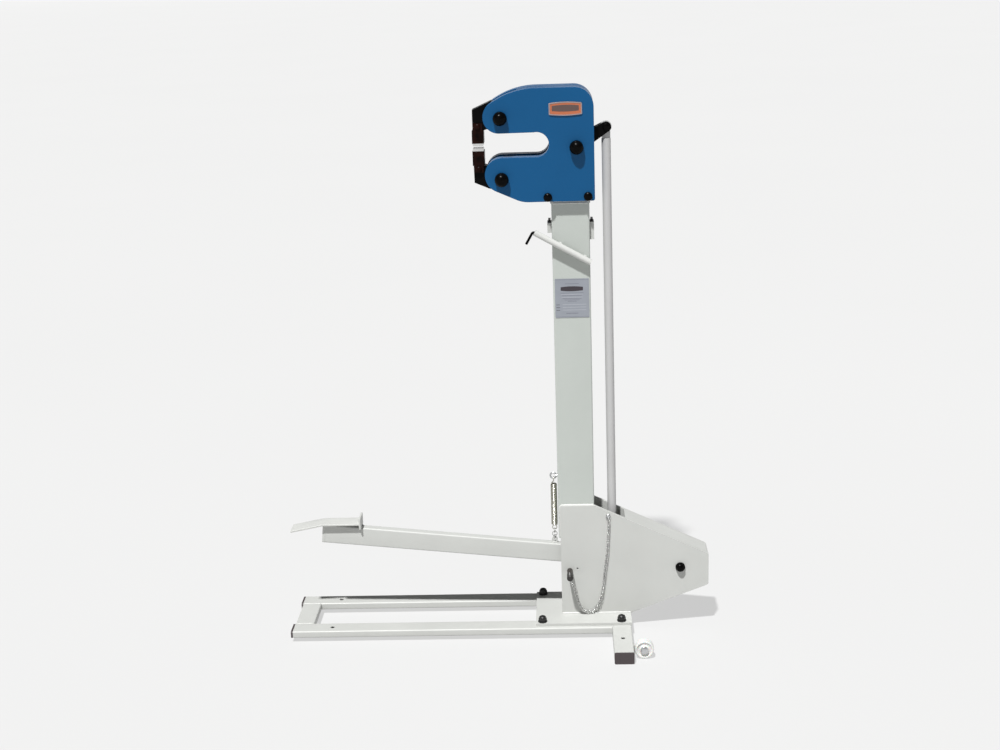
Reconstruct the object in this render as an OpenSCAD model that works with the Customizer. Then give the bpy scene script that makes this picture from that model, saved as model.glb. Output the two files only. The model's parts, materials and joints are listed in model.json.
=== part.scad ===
// Foot-operated metal shrinker and stretcher on a floor stand.
// The origin is on the floor under the middle of the object's length and width.
// +X points to the rear, +Y to the far side and +Z up; the operator stands at -X.

/* [Frame] */
// Distance of the column's axis behind the origin
column_x = 165; // [160:1:170]

/* [Base] */
// Width of the rail and crossbar tubes
tube_w = 40; // [38:1:42]
// Height of the rails and the front crossbar
rail_h = 15; // [14:1:16]
// Height of the rear crossbar, which stands on the floor
crossbar_h = 25; // [24:1:28]
// Clear gap between the two rails
rail_gap = 100; // [96:1:104]
// Length of the rails' front ends ahead of the column's axis
base_reach = 600; // [595:1:600]
// Overall width of the rear crossbar over its end caps
crossbar_len = 418; // [416:1:430]
// Radius of the floor anchor holes
anchor_r = 4.5; // [4:0.25:5.5]
// Thickness of the base plate
base_plate_t = 6; // [5:0.5:7]

/* [Column and housing] */
// Column tube, size along X
column_w = 75; // [74:1:77]
// Column tube, size along Y
column_d = 50; // [48:1:52]
// Height of the top of the column tube
column_top = 905; // [904:1:905]
// Height of the lower end of the column, just above the pedal arm
column_bottom = 200; // [198:1:215]
// Thickness of the housing side plates
plate_t = 6; // [5:0.5:8]

/* [Pedal] */
// Angle of the pedal arm at rest, front end up
arm_angle = 6; // [6:0.25:6.25]
// Pedal arm tube, size along Y
arm_w = 20; // [20:1:22]
// Pedal arm tube, height
arm_h = 40; // [38:1:42]
// Distance from the pedal pivot to the arm's front end
arm_len = 750; // [745:1:752]
// Distance from the pedal pivot to the pull rod's pin
rod_pin_len = 140.8; // [140.5:0.1:141]
// Travel of the pedal in degrees
pedal_travel = 12; // [10:0.5:12]

/* [Head] */
// Thickness of each cheek
cheek_t = 26; // [24:1:27]
// Gap between the two cheeks
cheek_gap = 28; // [28:0.5:29]
// Opening of the jaws at rest
jaw_gap = 5; // [4.6:0.1:5.4]
// Turn of each jaw arm over the whole pedal travel, in degrees
jaw_turn = 1.9; // [1.6:0.1:2]
// Turn of the actuating lever over the whole pedal travel, in degrees
lever_turn = 26.32; // [26:0.01:26.6]

/* [Hidden] */
$fn = 64;

// Base
rail_top = crossbar_h;
rail_y = (rail_gap + tube_w) / 2;
rail_z = rail_top - rail_h / 2;
rail_wall = 2;
rail_corner = 3;
crossbar_x = column_x + 90;
front_bar_x = column_x - base_reach + tube_w / 2;
cap_t = 4;
cap_fit = 0.2;
cap_plug = 15;
crossbar_tube_len = crossbar_len - 6;
anchor_front_x = column_x - 518;
anchor_rear_y = 141;
pad_side = 30;
pad_y = 30;

// Base plate and its bolts
plate_front_x = column_x - 89;
plate_rear_x = column_x + 111;
plate_half_w = 81;
base_bolt_xs = [column_x - 75, crossbar_x];
base_top = rail_top + base_plate_t;
bolt_hole_r = 5.25;
bolt_r = 5;
bolt_len = 16;
bolt_flange_r = 9.5;
bolt_hex_r = 8.5;

// Transport wheels
wheel_r = 19;
wheel_w = 16;
wheel_x = column_x + 131;
wheel_z = 20;
wheel_y = 179;
axle_r = 5;
running_gap = 0.06;
bracket_t = 6;
bracket_y = 165;

// Housing
pedal_reach = 215;
pedal_x = column_x + pedal_reach;
pedal_z = 133.5;
plate_inner_y = column_d / 2;
plate_outer_y = plate_inner_y + plate_t;
housing_top = 273;
slope_start_x = column_x + 38.5;
slope_end = [column_x + 270.6, 163.3];
housing_rear_x = column_x + 274;
cover_front_x = column_x + 101;
cover_t = 3;
pivot_r = 8;
bush_r = 12;
bush_bore_r = pivot_r + running_gap;
lock_pin_r = 5.9;
lock_pin_pos = [column_x - 15.8, 128];
chain_screw_pos = [column_x + 66, 250];

// Pedal arm
arm_wall = 2.5;
tread_half_w = 20;
tread_t = 4;
rod_pin_r = 5;
spring_x = column_x - 46;
lug_hole_up = 7;
lug_hole_z = arm_h / 2 + lug_hole_up;
lug_local_x = -(pedal_x - spring_x + lug_hole_z * sin(arm_angle)) / cos(arm_angle);

// Lever, rod and cam
upper_pivot = [-132.5, 1075];
lower_pivot = [-132.5, 957];
lever_pivot = [14, 1016];
mirror_z = lever_pivot[1];
lever_end = [72.5, 1050];
lever_half_t = 12;
rod_eye_half = 5.7;
rod_r = 9;
rod_bore_r = 6;
rod_stud_r = 5.9;
fork_gap = 0.8;
fork_t = 5;
rod_tilt = atan((lever_end[0] - (pedal_reach - rod_pin_len * cos(arm_angle)))
    / (lever_end[1] - pedal_z - rod_pin_len * sin(arm_angle)));
rod_len = norm([lever_end[0] - pedal_reach + rod_pin_len * cos(arm_angle),
    lever_end[1] - pedal_z - rod_pin_len * sin(arm_angle)]);
roller_r = 8;
roller_half_w = 6;
roller_pin_r = 3;
cam_gap = 0.3;
cam_base_r = 20;
roller_start = [0, cam_base_r + roller_r + cam_gap];

// Head
head_top = 1131;
head_bottom = 911;
head_rear = 48.5;
throat_low = 999;
throat_high = 1047;
throat_end_r = (throat_high - throat_low) / 2;
throat_centre_x = -63;
cheek_outer_y = cheek_gap / 2 + cheek_t;
mount_bolts = [[-43.5, 920], [35, 920]];
spine_t = 12;
arm_half_t = 13;
jaw_mid_z = 1017.5;
jaw_front_x = -189;
jaw_rear_x = -166;
jaw_joint_z = 1050;
jaw_half_w = 17;
grip_t = 5;
grip_slot_w = 7;
grip_slot_h = 4.5;
grip_slot_half = 14.5;
grip_w = 16;
tongue_inset = 4;
slide_gap = 0.3;
arm_spring_x = -20;
arm_spring_r = 4.6;
arm_spring_half = 56;

// ---- shared shapes ----

function rot2(p, a) = [p[0] * cos(a) - p[1] * sin(a), p[0] * sin(a) + p[1] * cos(a)];
function arc(c, r, a0, a1, n) = [for (i = [0:n]) c + r * [cos(a0 + (a1 - a0) * i / n), sin(a0 + (a1 - a0) * i / n)]];

module rounded_rect(w, h, r) {
    square([w - 2 * r, h], center = true);
    square([w, h - 2 * r], center = true);
    for (sx = [-1, 1], sy = [-1, 1])
        translate([sx * (w / 2 - r), sy * (h / 2 - r)]) circle(r);
}

module tube_profile(w, h, wall, r) {
    difference() {
        rounded_rect(w, h, r);
        rounded_rect(w - 2 * wall, h - 2 * wall, max(r - wall, 0.6));
    }
}

// Extrudes an outline drawn in X and Y along +X, so that it stands in Y and Z
module along_x(x0, x1) {
    translate([x0, 0, 0]) rotate([90, 0, 90]) linear_extrude(x1 - x0) children();
}

// Extrudes an outline drawn in X and Z between two Y values
module along_y(y0, y1) {
    translate([0, y1, 0]) rotate([90, 0, 0]) linear_extrude(y1 - y0) children();
}

module bore_y(x, z, r, half = 60) {
    translate([x, half, z]) rotate([90, 0, 0]) cylinder(r = r, h = 2 * half);
}

module hole_z(x, y, r, z0, z1) {
    translate([x, y, z0]) cylinder(r = r, h = z1 - z0);
}

// A domed button of radius r standing h proud along +Z
module domed_head(r, h) {
    ball = (r * r + h * h / 4) / h;
    cylinder(r = r, h = h / 2);
    translate([0, 0, h / 2]) intersection() {
        translate([0, 0, h / 2 - ball]) sphere(r = ball);
        cylinder(r = r, h = h);
    }
}

// Places children so that their +Z leaves the near side (-Y) at height z
module facing_near(x, y, z) {
    translate([x, y, z]) rotate([90, 0, 0]) children();
}

module facing_far(x, y, z) {
    translate([x, y, z]) rotate([-90, 0, 0]) children();
}

module at_column() {
    translate([column_x, 0, 0]) children();
}

// The pedal arm's own frame: origin at its pivot, -X along the arm to the front
module at_pedal() {
    translate([pedal_x, 0, pedal_z]) rotate([0, arm_angle, 0]) children();
}

// ---- base ----

module rail(side) {
    difference() {
        translate([0, side * rail_y, rail_z])
            along_x(column_x - base_reach, crossbar_x - tube_w / 2)
                tube_profile(tube_w, rail_h, rail_wall, rail_corner);
        hole_z(anchor_front_x, side * rail_y, anchor_r, 0, rail_top + 1);
        hole_z(base_bolt_xs[0], side * rail_y, bolt_hole_r, rail_top - 2 * rail_wall, rail_top + 1);
    }
}

module rail_near() {
    color("gainsboro") rail(-1);
}

module rail_far() {
    color("gainsboro") rail(1);
}

module front_crossbar() {
    color("gainsboro") translate([front_bar_x, 0, rail_z])
        along_y(-rail_gap / 2, rail_gap / 2) tube_profile(tube_w, rail_h, rail_wall, rail_corner);
}

module rear_crossbar() {
    color("gainsboro") difference() {
        translate([crossbar_x, 0, crossbar_h / 2])
            along_y(-crossbar_tube_len / 2, crossbar_tube_len / 2)
                tube_profile(tube_w, crossbar_h, rail_wall, rail_corner);
        for (side = [-1, 1]) {
            hole_z(crossbar_x, side * anchor_rear_y, anchor_r, -1, rail_top + 1);
            hole_z(crossbar_x, side * rail_y, bolt_hole_r, rail_top - 2 * rail_wall, rail_top + 1);
        }
    }
}

// A flange over the tube's end and a plug inside it, drawn along +X
module end_cap(w, h, flange) {
    plug_w = w - 2 * rail_wall - 2 * cap_fit;
    plug_h = h - 2 * rail_wall - 2 * cap_fit;
    along_x(-flange, 0) rounded_rect(w, h, rail_corner);
    along_x(0, cap_plug) difference() {
        rounded_rect(plug_w, plug_h, 1);
        rounded_rect(plug_w - 4, plug_h - 4, 1);
    }
}

module tube_end_caps() {
    flange = (crossbar_len - crossbar_tube_len) / 2;
    color("#141414") for (side = [-1, 1]) {
        translate([column_x - base_reach, side * rail_y, rail_z]) end_cap(tube_w, rail_h, cap_t);
        translate([crossbar_x, side * crossbar_tube_len / 2, crossbar_h / 2])
            rotate([0, 0, -side * 90]) end_cap(tube_w, crossbar_h, flange);
    }
}

module front_foot_pads() {
    color("#1c1c1c") for (side = [-1, 1])
        translate([front_bar_x - pad_side / 2, side * pad_y - pad_side / 2, 0])
            cube([pad_side, pad_side, rail_top - rail_h]);
}

module base_plate() {
    color("whitesmoke") difference() {
        translate([plate_front_x, -plate_half_w, rail_top])
            cube([plate_rear_x - plate_front_x, 2 * plate_half_w, base_plate_t]);
        for (x = base_bolt_xs, side = [-1, 1])
            hole_z(x, side * rail_y, bolt_hole_r, rail_top - 1, base_top + 1);
    }
}

module flange_bolt() {
    cylinder(r = bolt_flange_r, h = 2.5);
    translate([0, 0, 2.5]) cylinder(r = bolt_hex_r, h = 6, $fn = 6);
    translate([0, 0, 8]) domed_head(bolt_hex_r - 1.4, 6);
    translate([0, 0, -bolt_len]) cylinder(r = bolt_r, h = bolt_len + 1);
}

module base_bolts() {
    color("#111111") for (x = base_bolt_xs, side = [-1, 1])
        translate([x, side * rail_y, base_top]) flange_bolt();
}

module base_weld_nuts() {
    color("silver") for (x = base_bolt_xs, side = [-1, 1])
        translate([x, side * rail_y, rail_top - rail_wall - 8]) difference() {
            cylinder(r = 9.8, h = 8, $fn = 6);
            translate([0, 0, -1]) cylinder(r = bolt_r + 0.1, h = 10);
        }
}

// ---- transport wheels ----

module wheel_brackets() {
    color("gainsboro") for (side = [-1, 1]) {
        y0 = side * bracket_y - bracket_t / 2;
        difference() {
            union() {
                translate([crossbar_x + tube_w / 2, y0, 4]) cube([wheel_x - crossbar_x - tube_w / 2, bracket_t, 18]);
                along_y(y0, y0 + bracket_t) translate([wheel_x, wheel_z]) circle(10);
            }
            bore_y(wheel_x, wheel_z, axle_r, 250);
        }
    }
}

module wheel_axles() {
    color("silver") for (side = [-1, 1]) rotate([0, 0, side > 0 ? 180 : 0])
        translate([side > 0 ? -2 * wheel_x : 0, 0, 0]) {
            facing_near(wheel_x, -wheel_y - wheel_w / 2 - 0.5, wheel_z) domed_head(8, 4);
            facing_far(wheel_x, -wheel_y - wheel_w / 2 - 1, wheel_z) cylinder(r = axle_r, h = 36);
            facing_far(wheel_x, -bracket_y + bracket_t / 2, wheel_z) cylinder(r = 9, h = 6, $fn = 6);
        }
}

module wheel(side) {
    hub_r = 9;
    rim_r = 15;
    translate([wheel_x, side * wheel_y, wheel_z]) rotate([90, 0, 0]) rotate_extrude() {
        translate([axle_r + running_gap, -wheel_w / 2]) square([hub_r - axle_r - running_gap, wheel_w]);
        translate([hub_r - 1, -wheel_w / 2 + 3]) square([rim_r - hub_r + 2, wheel_w - 6]);
        translate([rim_r, -wheel_w / 2 + 1]) square([wheel_r - rim_r, wheel_w - 2]);
        translate([rim_r + 1, -wheel_w / 2]) square([wheel_r - rim_r - 2, wheel_w]);
        for (s = [-1, 1]) translate([wheel_r - 1, s * (wheel_w / 2 - 1)]) circle(1);
    }
}

module wheel_near() {
    color("white") wheel(-1);
}

module wheel_far() {
    color("white") wheel(1);
}

// ---- housing and column ----

module side_plate_outline() {
    front = column_x - 33.6;
    polygon([
        [front, base_top], [column_x + 113.5, base_top], [column_x + 271, 91.8], [housing_rear_x, 95],
        [housing_rear_x, 160], slope_end, [slope_start_x, housing_top], [front, housing_top]
    ]);
}

module side_plate(side) {
    y0 = side > 0 ? plate_inner_y : -plate_outer_y;
    difference() {
        along_y(y0, y0 + plate_t) side_plate_outline();
        bore_y(pedal_x, pedal_z, pivot_r + 0.1);
        bore_y(lock_pin_pos[0], lock_pin_pos[1], lock_pin_r + 0.1);
        if (side < 0) bore_y(chain_screw_pos[0], chain_screw_pos[1], 2.6);
        if (side < 0) bore_y(lock_pin_pos[0] + 16, lock_pin_pos[1] + 5, 2);
    }
}

module side_plate_near() {
    color("gainsboro") side_plate(-1);
}

module side_plate_far() {
    color("gainsboro") side_plate(1);
}

// Height of the side plates' sloping top edge at a given X
function slope_z(x) = housing_top + (slope_end[1] - housing_top) * (x - slope_start_x) / (slope_end[0] - slope_start_x);

module housing_cover() {
    color("whitesmoke") along_y(-plate_inner_y, plate_inner_y) polygon([
        [cover_front_x, slope_z(cover_front_x)], slope_end, [housing_rear_x, 160], [housing_rear_x, 95],
        [housing_rear_x - cover_t, 95], [housing_rear_x - cover_t, 159], [slope_end[0] - 1.5, slope_end[1] - cover_t],
        [cover_front_x, slope_z(cover_front_x) - cover_t * 1.1]
    ]);
}

module column() {
    color("#c3c8c2") translate([column_x, 0, column_bottom]) difference() {
        linear_extrude(column_top - column_bottom) tube_profile(column_w, column_d, 3, 3);
        translate([-column_w / 2 - 1, 0, 330 - column_bottom]) rotate([0, 90, 0]) cylinder(r = 3.05, h = 8);
    }
}

// A cap on the column's end and a tongue between the two cheeks, which the head's bolts pass through
tongue_front = -56;
tongue_len = 104;
tongue_h = 28;
module column_top_plate() {
    color("gainsboro") at_column() {
        difference() {
            union() {
                translate([-column_w / 2, -column_d / 2, column_top])
                    cube([column_w, column_d, head_bottom - column_top]);
                translate([tongue_front, -cheek_gap / 2, head_bottom])
                    cube([tongue_len, cheek_gap, tongue_h]);
            }
            for (b = mount_bolts) bore_y(b[0], b[1], bolt_hole_r);
        }
    }
}

module pedal_pivot_bolt() {
    color("#111111") {
        facing_near(pedal_x, -plate_outer_y, pedal_z) {
            cylinder(r = 10, h = 4);
            translate([0, 0, 3]) domed_head(8.5, 9);
        }
        facing_far(pedal_x, -plate_outer_y - 1, pedal_z) cylinder(r = pivot_r, h = 2 * plate_outer_y + 14);
        facing_far(pedal_x, plate_outer_y, pedal_z) cylinder(r = 13.8, h = 12, $fn = 6);
    }
}

module pedal_pivot_spacers() {
    gap = 0.4;
    color("silver") for (side = [-1, 1])
        translate([0, side * (arm_w / 2 + plate_inner_y) / 2, 0]) difference() {
            bore_y(pedal_x, pedal_z, 15, (plate_inner_y - arm_w / 2) / 2 - gap);
            bore_y(pedal_x, pedal_z, pivot_r + 0.1);
        }
}

module pedal_pivot_bush() {
    color("#b08d57") difference() {
        bore_y(pedal_x, pedal_z, bush_r, arm_w / 2);
        bore_y(pedal_x, pedal_z, bush_bore_r);
    }
}

// ---- pedal lock pin and its chain ----

// Drawn out to where it rests: the shaft starts inside the near plate and ends in the knob
pin_tip_y = -24;
pin_knob_y = -52;
pin_knob_r = 6.6;
pin_knob_len = 19;
module lock_pin() {
    color("silver") {
        facing_near(lock_pin_pos[0], pin_tip_y, lock_pin_pos[1]) cylinder(r = lock_pin_r, h = pin_tip_y - pin_knob_y + 1);
        facing_far(lock_pin_pos[0], pin_tip_y, lock_pin_pos[1]) cylinder(r1 = lock_pin_r, r2 = 4.5, h = 1);
        facing_near(lock_pin_pos[0], pin_knob_y, lock_pin_pos[1]) {
            cylinder(r = pin_knob_r, h = pin_knob_len);
            translate([0, 0, pin_knob_len]) domed_head(pin_knob_r, 3);
        }
    }
}

// The chain hangs from its screw to the end of the knob; points are ahead of the column's axis
chain_r = 2.5;
chain_route = [for (p = [
    [67, -34.4, 242.5], [65.3, -34.5, 209.5], [62.7, -34.5, 169.2], [58.4, -34.5, 134.8], [54.2, -34.5, 99.9],
    [49, -35, 68.1], [40, -36, 48], [27, -37, 38.5], [14, -39.5, 41.5], [4, -45, 57], [-2.4, -52, 79.3],
    [-6.8, -62, 103], [-12, -73.2, 117.6]
]) p + [column_x, 0, 0]];

function spline(p, k, t) =
    let (n = len(p) - 1, a = p[max(k - 1, 0)], b = p[k], c = p[min(k + 1, n)], d = p[min(k + 2, n)])
    0.5 * (2 * b + (c - a) * t + (2 * a - 5 * b + 4 * c - d) * t * t + (3 * b - a - 3 * c + d) * t * t * t);
function resample(p, steps) = [
    for (k = [0:len(p) - 2], s = [0:steps - 1]) spline(p, k, s / steps), p[len(p) - 1]
];
function unit(v) = v / norm(v);
function sweep_rings(path, r, sides) = [
    for (i = [0:len(path) - 1])
        let (t = unit(path[min(i + 1, len(path) - 1)] - path[max(i - 1, 0)]),
            u = unit(cross(t, [0, 1, 0])), v = cross(u, t))
        for (s = [0:sides - 1]) path[i] + r * (cos(360 * s / sides) * u + sin(360 * s / sides) * v)
];

module sweep(path, r, sides) {
    n = len(path);
    polyhedron(points = sweep_rings(path, r, sides), faces = concat(
        [[for (s = [0:sides - 1]) s]],
        [for (i = [0:n - 2], s = [0:sides - 1])
            [i * sides + s, (i + 1) * sides + s, (i + 1) * sides + (s + 1) % sides, i * sides + (s + 1) % sides]],
        [[for (s = [sides - 1:-1:0]) (n - 1) * sides + s]]
    ));
}

module pin_chain() {
    color("silver") sweep(resample(chain_route, 3), chain_r, 8);
}

module chain_screw() {
    color("silver") facing_near(chain_screw_pos[0], -plate_outer_y, chain_screw_pos[1]) {
        domed_head(4.5, 4);
        translate([0, 0, -plate_t]) cylinder(r = 2.5, h = plate_t + 1);
    }
}

// ---- pedal ----

module pedal_arm() {
    color("gainsboro") at_pedal() difference() {
        along_x(-arm_len, 25) tube_profile(arm_w, arm_h, arm_wall, 3);
        bore_y(0, 0, bush_r);
        bore_y(-rod_pin_len, 0, rod_pin_r);
    }
    color("gainsboro") at_pedal() spring_lug();
}

module arm_end_cap() {
    color("white") at_pedal() translate([-arm_len, 0, 0]) {
        along_x(-6, 0) rounded_rect(arm_w, arm_h, 3);
        along_x(0, cap_plug) rounded_rect(arm_w - 2 * arm_wall - 0.4, arm_h - 2 * arm_wall - 0.4, 1);
    }
}

// Height of the arm's top face at a distance ahead of or behind the column's axis
function arm_top(x) = pedal_z + (pedal_reach - x) * tan(arm_angle) + arm_h / 2 / cos(arm_angle);

// A folded plate: level step, sloping toe, and an upright at the rear that stands on the arm
tread_top = 236.5;
tread_front = -535;
tread_rear = -453;
tread_back_top = 248;
module pedal_tread() {
    toe_end = [-603, 219];
    toe_rise = 4.1;
    inner = tread_rear - tread_t;
    color("whitesmoke") at_column() along_y(-tread_half_w, tread_half_w) polygon([
        [tread_rear, arm_top(tread_rear)], [tread_rear, tread_back_top], [inner, tread_back_top], [inner, tread_top],
        [tread_front, tread_top], [toe_end[0], toe_end[1] + toe_rise], toe_end, [tread_front, tread_top - tread_t],
        [inner, tread_top - tread_t], [inner, arm_top(inner)]
    ]);
}

module spring_lug() {
    translate([lug_local_x, 0, arm_h / 2]) difference() {
        along_y(-2, 2) {
            translate([-6, -1]) square([12, lug_hole_up + 1]);
            translate([0, lug_hole_up]) circle(6);
        }
        bore_y(0, lug_hole_up, 3, 10);
    }
}

module ring(major, minor) {
    rotate_extrude() translate([major, 0]) circle(minor, $fn = 24);
}

// Interlinked rings that join the spring's lower hook to the lug on the arm
link_major = 5;
link_minor = 1.2;
link_pitch = 7.2;
first_link_z = pedal_z - lug_local_x * sin(arm_angle) + lug_hole_z * cos(arm_angle) + link_major;
module spring_chain() {
    color("silver") for (i = [0:2])
        translate([spring_x, 0, first_link_z + i * link_pitch])
            rotate([90, 0, i % 2 == 0 ? 90 : 0]) ring(link_major, link_minor);
}

// Outer sleeve of the tension spring's coils, between its two hooks
spring_r = 6.8;
spring_low = 214;
spring_high = 319;
module return_spring() {
    color("#222222") translate([spring_x, 0, spring_low]) difference() {
        cylinder(r = spring_r, h = spring_high - spring_low);
        translate([0, 0, -1]) cylinder(r = spring_r - 1.8, h = spring_high - spring_low + 2);
    }
}

module spring_eye_bolt() {
    color("silver") at_column() {
        translate([-column_w / 2 - 4, 0, 330]) rotate([0, 90, 0]) cylinder(r = 3, h = 14);
        translate([-column_w / 2 - 9, 0, 330]) rotate([90, 0, 0]) ring(6, 1.8);
    }
}

module rod_lower_pin() {
    head_y = arm_w / 2 + fork_gap + fork_t + 0.5;
    color("silver") at_pedal() translate([-rod_pin_len, 0, 0]) {
        bore_y(0, 0, rod_pin_r, head_y + 1);
        for (side = [-1, 1]) rotate([-90 * side, 0, 0]) translate([0, 0, head_y]) cylinder(r = 9, h = 2);
    }
}

// ---- pull rod, drawn in its own frame with the upper pin at the origin and -Z along it ----

module at_rod() {
    translate([column_x + lever_end[0], 0, lever_end[1]]) rotate([0, rod_tilt, 0]) children();
}

rod_top_gap = 23;
rod_bottom_gap = 46;
module pull_rod() {
    color("#c9c9c9") at_rod() translate([0, 0, -rod_len + rod_bottom_gap]) difference() {
        cylinder(r = rod_r, h = rod_len - rod_top_gap - rod_bottom_gap);
        translate([0, 0, -1]) cylinder(r = rod_bore_r, h = rod_len);
    }
}

module rod_upper_eye() {
    color("whitesmoke") at_rod() difference() {
        union() {
            along_y(-rod_eye_half, rod_eye_half) circle(11);
            translate([-8.2, -rod_eye_half, -rod_top_gap]) cube([16.4, 2 * rod_eye_half, rod_top_gap]);
            translate([0, 0, -rod_top_gap - 40]) cylinder(r = rod_stud_r, h = 42);
        }
        bore_y(0, 0, rod_pin_r + running_gap);
    }
}

// The fork straddles the pedal arm; its holes are long, to take up the arc of the lever and the pedal
pin_slack_x = 1.5;
fork_hole_r = 6;
fork_bridge_z = 26;
module rod_lower_fork() {
    inner = arm_w / 2 + fork_gap;
    outer = inner + fork_t;
    color("#b9b9b9") at_rod() translate([0, 0, -rod_len]) difference() {
        union() {
            for (y0 = [-outer, inner]) along_y(y0, y0 + fork_t) {
                circle(12.5);
                translate([-10, 0]) square([20, fork_bridge_z + 2]);
            }
            translate([-10, -outer, fork_bridge_z]) cube([20, 2 * outer, 8]);
            translate([0, 0, fork_bridge_z + 4]) cylinder(r = rod_stud_r, h = 60);
        }
        for (s = [-1, 1]) bore_y(s * pin_slack_x, 0, fork_hole_r);
        translate([-pin_slack_x, -outer - 1, -fork_hole_r]) cube([2 * pin_slack_x, 2 * outer + 2, 2 * fork_hole_r]);
    }
}

module rod_locknut() {
    color("silver") at_rod() translate([0, 0, -rod_len + rod_bottom_gap - 7.2]) difference() {
        cylinder(r = 9.8, h = 7, $fn = 6);
        translate([0, 0, -1]) cylinder(r = rod_bore_r, h = 9);
    }
}

module rod_upper_pin() {
    color("#1a1a1a") translate([column_x + lever_end[0], 0, lever_end[1]]) {
        bore_y(0, 0, rod_pin_r, lever_half_t + 1);
        facing_near(0, -lever_half_t, 0) domed_head(7, 4);
        facing_far(0, lever_half_t, 0) domed_head(7, 4);
    }
}

// ---- items on the column ----

key_low = [38.5, 787.3];
key_high = [-71.8, 850];
key_angle = atan2(key_high[1] - key_low[1], key_low[0] - key_high[0]);
key_holder_len = norm(key_high - key_low);
key_holder_r = 6;
key_standoff = 5;
key_y = -column_d / 2 - key_standoff - key_holder_r;
hex_r = 2.9;
// The holder's own frame: origin at its upper mouth, +Z leaving the mouth along the tube
module at_key() {
    translate([column_x + key_high[0], key_y, key_high[1]]) rotate([0, key_angle - 90, 0]) children();
}

module key_holder() {
    color("whitesmoke") at_key() difference() {
        union() {
            translate([0, 0, -key_holder_len]) cylinder(r = key_holder_r, h = key_holder_len);
            for (z = [-57, -113])
                translate([2, 0, z]) rotate([-90, 0, 0]) cylinder(r = 4, h = key_standoff + key_holder_r);
        }
        translate([0, 0, -key_holder_len + 4]) cylinder(r = 3.4, h = key_holder_len);
    }
}

module hex_key() {
    short_leg = 28.5;
    long_leg = 100;
    bend_z = hex_r + 0.4;
    color("#26221f") at_key() {
        translate([0, 0, bend_z - long_leg]) cylinder(r = hex_r, h = long_leg + hex_r * cos(30), $fn = 6);
        translate([0, 0, bend_z]) rotate([0, -90, 0]) rotate([0, 0, 30]) cylinder(r = hex_r, h = short_leg, $fn = 6);
    }
}

module data_plate() {
    color("#8d959d") at_column() translate([-34, -column_d / 2 - 0.8, 674]) cube([68, 0.8, 79.5]);
}

pocket_depth = 8.6;
pocket_top = 865;
pocket_wall = 1.5;
pocket_half_w = 15;
spare_half_w = 12;
spare_fit = 0.4;
pocket_bottoms = [845, 830];
// side -1 is the column's front face and 1 its rear face
module pocket(side, bottom) {
    translate([side * (column_w + pocket_depth) / 2, 0, bottom]) difference() {
        translate([-pocket_depth / 2, -pocket_half_w, 0]) cube([pocket_depth, 2 * pocket_half_w, pocket_top - bottom]);
        translate([-pocket_depth / 2 + pocket_wall, -spare_half_w - spare_fit, pocket_wall])
            cube([pocket_depth - 2 * pocket_wall, 2 * (spare_half_w + spare_fit), 100]);
    }
}

module grip_pockets() {
    color("gainsboro") at_column() {
        pocket(-1, pocket_bottoms[0]);
        pocket(1, pocket_bottoms[1]);
    }
}

module spare_grip(side, bottom) {
    t = pocket_depth - 2 * pocket_wall - 2 * spare_fit;
    at_column() translate([side * (column_w + pocket_depth) / 2 - t / 2, -spare_half_w, bottom + pocket_wall + 0.3])
        cube([t, 2 * spare_half_w, 870.5 - bottom - pocket_wall - 0.3]);
}

module spare_grip_front() {
    color("#151515") spare_grip(-1, pocket_bottoms[0]);
}

module spare_grip_rear() {
    color("#151515") spare_grip(1, pocket_bottoms[1]);
}

// ---- head ----

upper_nose_r = 31;
upper_arc = [[throat_centre_x, head_top - 155], 155, 125.5];
upper_nose = upper_arc[0] + (upper_arc[1] - upper_nose_r) * [cos(upper_arc[2]), sin(upper_arc[2])];
lower_nose = [-131, 965];
lower_nose_r = throat_low - lower_nose[1];
lower_slope = 24;
lower_blend_r = 60;
lower_blend = [-80.6, head_bottom + lower_blend_r];
corner_r = 38;

module head_outline() {
    difference() {
        polygon(concat(
            arc([head_rear - corner_r, head_top - corner_r], corner_r, 0, 90, 14),
            arc(upper_arc[0], upper_arc[1], 90, upper_arc[2], 16),
            arc(upper_nose, upper_nose_r, upper_arc[2], 270, 20),
            [[throat_centre_x, throat_high - 0.4]],
            [[throat_centre_x, throat_low]],
            arc(lower_nose, lower_nose_r, 90, 270 - lower_slope, 20),
            arc(lower_blend, lower_blend_r, 270 - lower_slope, 270, 6),
            [[head_rear - 4, head_bottom]],
            arc([head_rear - 4, head_bottom + 4], 4, 270, 360, 5)
        ));
        translate([throat_centre_x, throat_low + throat_end_r]) circle(throat_end_r);
    }
}

module cheek(side) {
    y0 = side > 0 ? cheek_gap / 2 : -cheek_outer_y;
    difference() {
        along_y(y0, y0 + cheek_t) head_outline();
        for (p = [upper_pivot, lower_pivot, lever_pivot]) bore_y(p[0], p[1], pivot_r + 0.1);
        for (b = mount_bolts) bore_y(b[0], b[1], bolt_hole_r);
    }
}

module cheek_near() {
    color("#1f6592") at_column() cheek(-1);
}

module cheek_far() {
    color("#1f6592") at_column() cheek(1);
}

// Closes the head along its top and rear edges, with a slot where the lever comes out
module head_spine() {
    slot_low = 1000;
    slot_high = 1058;
    color("#1d5d88") at_column() along_y(-cheek_gap / 2, cheek_gap / 2) intersection() {
        head_outline();
        union() {
            translate([-100, head_top - spine_t]) square([200, 30]);
            difference() {
                translate([head_rear - spine_t, slot_high]) square([30, 90]);
                translate([head_rear - corner_r, head_top - corner_r]) circle(corner_r - spine_t);
            }
            difference() {
                translate([head_rear - corner_r, head_top - corner_r]) square([corner_r, corner_r]);
                translate([head_rear - corner_r, head_top - corner_r]) circle(corner_r - spine_t);
            }
            translate([head_rear - spine_t, 940.5]) square([30, slot_low - 940.5]);
        }
    }
}

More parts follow.
